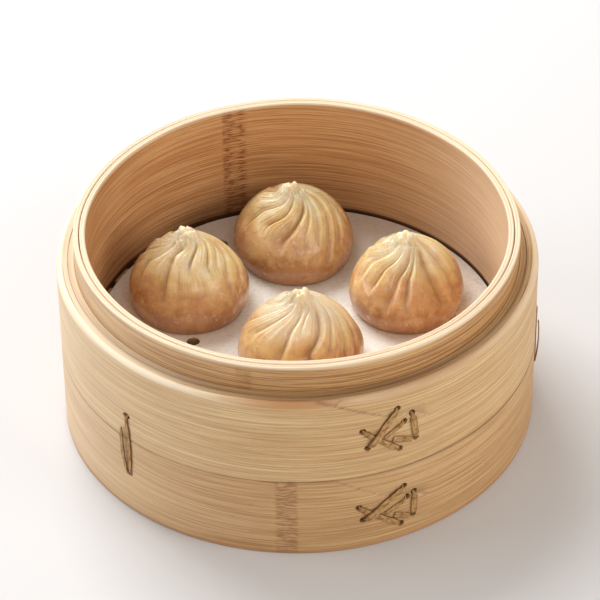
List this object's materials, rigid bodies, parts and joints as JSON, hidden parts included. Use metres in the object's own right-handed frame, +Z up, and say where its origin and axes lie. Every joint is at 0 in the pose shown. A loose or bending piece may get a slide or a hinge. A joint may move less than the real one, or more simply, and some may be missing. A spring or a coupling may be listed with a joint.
{
  "type": "bamboo steamer basket of soup dumplings",
  "caption": "Round bamboo steamer basket with a raised lip, laced bands, a slatted floor and a paper liner, holding pleated soup dumplings.",
  "frame": {"origin": "on the surface that the basket stands on, under the middle of the basket", "axes": "+Z up, +X to the right as seen from the laced side, +Y away from the laced side"},
  "size_m": [0.1817, 0.18, 0.082],
  "materials": {
    "pale_bamboo": "planed bamboo with fine fibres, satin",
    "inner_bamboo": "darker steamed bamboo, satin",
    "slat_bamboo": "split bamboo, matt",
    "liner_paper": "off-white steaming paper, matt",
    "cane": "dry flat cane, matt",
    "steamed_dough": "thin steamed dough, moist and slightly see-through"
  },
  "bodies": {
    "root": {"inner_wall": "inner_bamboo", "lip_ply": "pale_bamboo", "upper_band": "pale_bamboo", "lower_band": "pale_bamboo", "floor_hoop": "slat_bamboo", "paper_liner": "liner_paper", "floor_batten_1": "slat_bamboo", "floor_batten_2": "slat_bamboo", "floor_batten_3": "slat_bamboo", "floor_slat_01": "slat_bamboo", "floor_slat_02": "slat_bamboo", "floor_slat_03": "slat_bamboo", "floor_slat_04": "slat_bamboo", "floor_slat_05": "slat_bamboo", "floor_slat_06": "slat_bamboo", "floor_slat_07": "slat_bamboo", "floor_slat_08": "slat_bamboo", "floor_slat_09": "slat_bamboo", "floor_slat_10": "slat_bamboo", "floor_slat_11": "slat_bamboo", "floor_slat_12": "slat_bamboo", "floor_slat_13": "slat_bamboo", "dumpling_left": "steamed_dough", "dumpling_back": "steamed_dough", "dumpling_right": "steamed_dough", "dumpling_front": "steamed_dough", "upper_lacing_1": "cane", "upper_lacing_2": "cane", "upper_lacing_3": "cane", "upper_lacing_4": "cane", "upper_lacing_5": "cane", "lower_lacing_1": "cane", "lower_lacing_2": "cane", "lower_lacing_3": "cane", "lower_lacing_4": "cane", "lower_lacing_5": "cane", "stitch_left_a": "cane", "stitch_left_b": "cane", "stitch_right_a": "cane", "stitch_right_b": "cane", "stitch_back_right_a": "cane", "stitch_back_right_b": "cane", "stitch_back_left_a": "cane", "stitch_back_left_b": "cane"}
  },
  "joints": []
}
